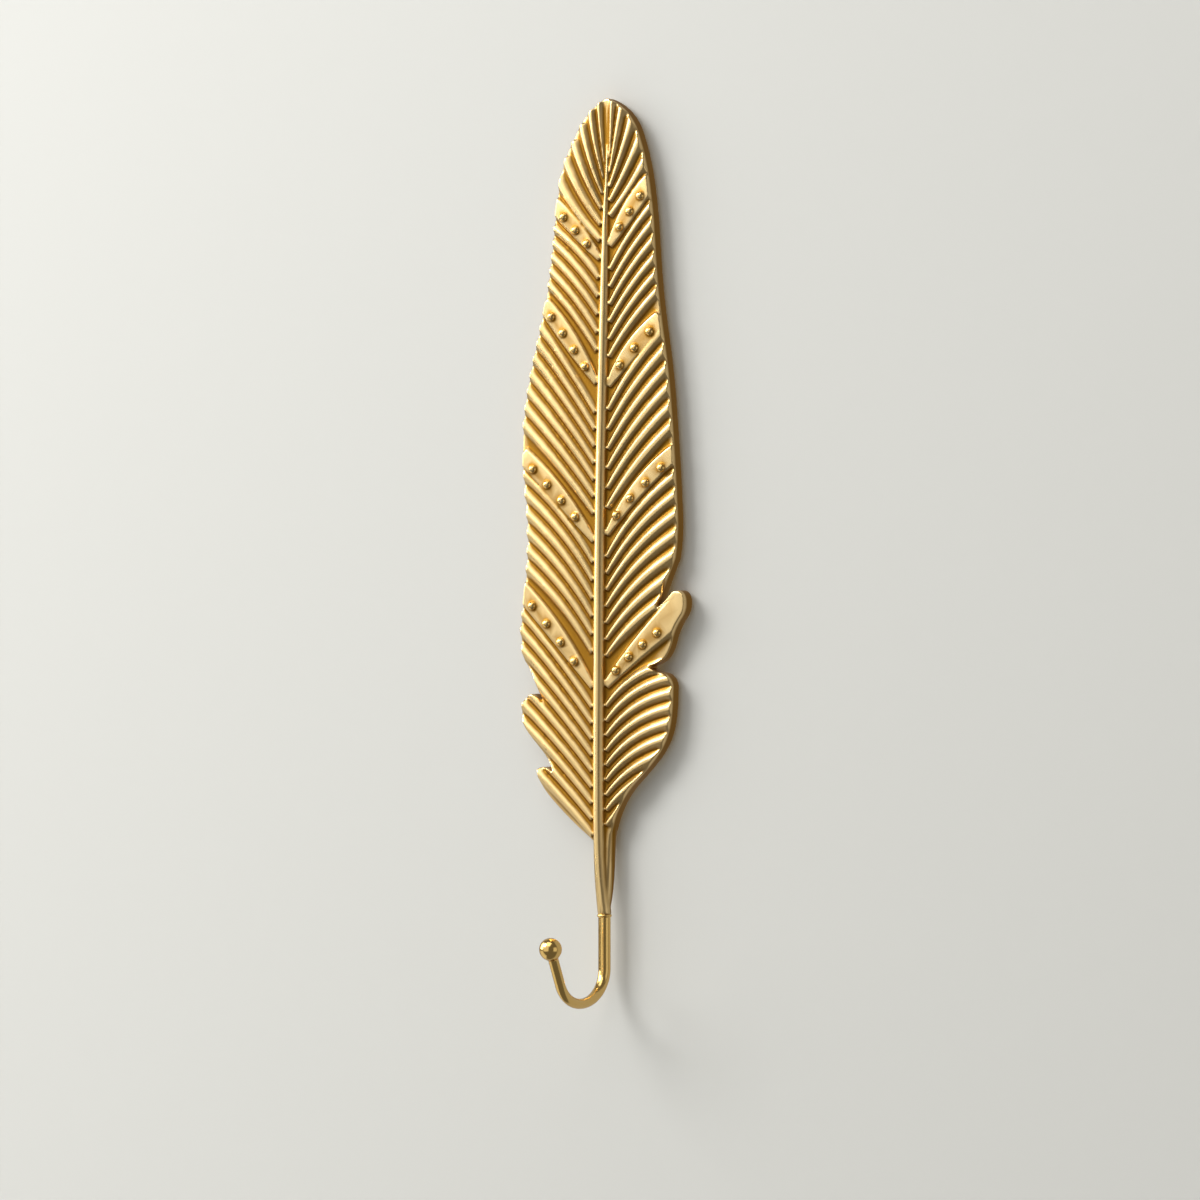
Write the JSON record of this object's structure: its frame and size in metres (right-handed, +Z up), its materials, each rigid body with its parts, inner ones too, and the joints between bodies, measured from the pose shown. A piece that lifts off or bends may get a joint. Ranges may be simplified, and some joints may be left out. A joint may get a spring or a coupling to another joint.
{
  "type": "coat hook",
  "caption": "Gold feather wall hook: ribbed cast feather plate with bead rows, bent round bar hook with a ball end, keyhole hanger plates on the back.",
  "frame": {"origin": "centre of the upper keyhole's round hole, on the wall plane", "axes": "+Z up along the feather, +X to the right seen from the front, +Y into the wall"},
  "size_m": [0.0621, 0.0408, 0.2904],
  "materials": {
    "feather_plate": "satin polished gold casting",
    "hook_rod": "bright polished gold bar",
    "ball_tip": "bright polished gold ball",
    "upper_hanger": "plain gold sheet",
    "lower_hanger": "plain gold sheet"
  },
  "bodies": {
    "root": {"feather_plate": "feather_plate", "hook_rod": "hook_rod", "ball_tip": "ball_tip", "upper_hanger": "upper_hanger", "lower_hanger": "lower_hanger"}
  },
  "joints": []
}
